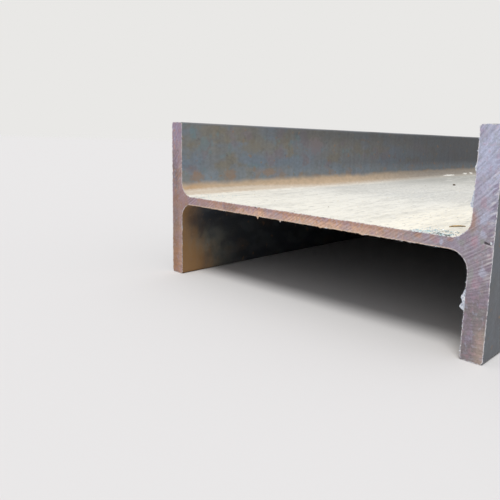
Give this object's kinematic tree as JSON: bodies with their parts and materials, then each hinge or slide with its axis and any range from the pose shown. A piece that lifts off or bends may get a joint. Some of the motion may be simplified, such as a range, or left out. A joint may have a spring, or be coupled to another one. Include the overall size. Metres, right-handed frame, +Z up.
{
  "type": "steel i-beam",
  "caption": "Straight length of hot-rolled wide-flange steel beam with parallel flanges and square sawn ends, lying on its flange tips.",
  "frame": {"origin": "under the middle of the beam, on the level that the lower flange tips rest on", "axes": "+X across the section's depth, +Y along the beam, +Z up through the web"},
  "size_m": [0.65, 6, 0.3],
  "materials": {
    "rolled_steel": "hot-rolled mill scale with thin brown rust, pale dust and bare sawn ends"
  },
  "bodies": {
    "root": {"i_beam": "rolled_steel"}
  },
  "joints": []
}
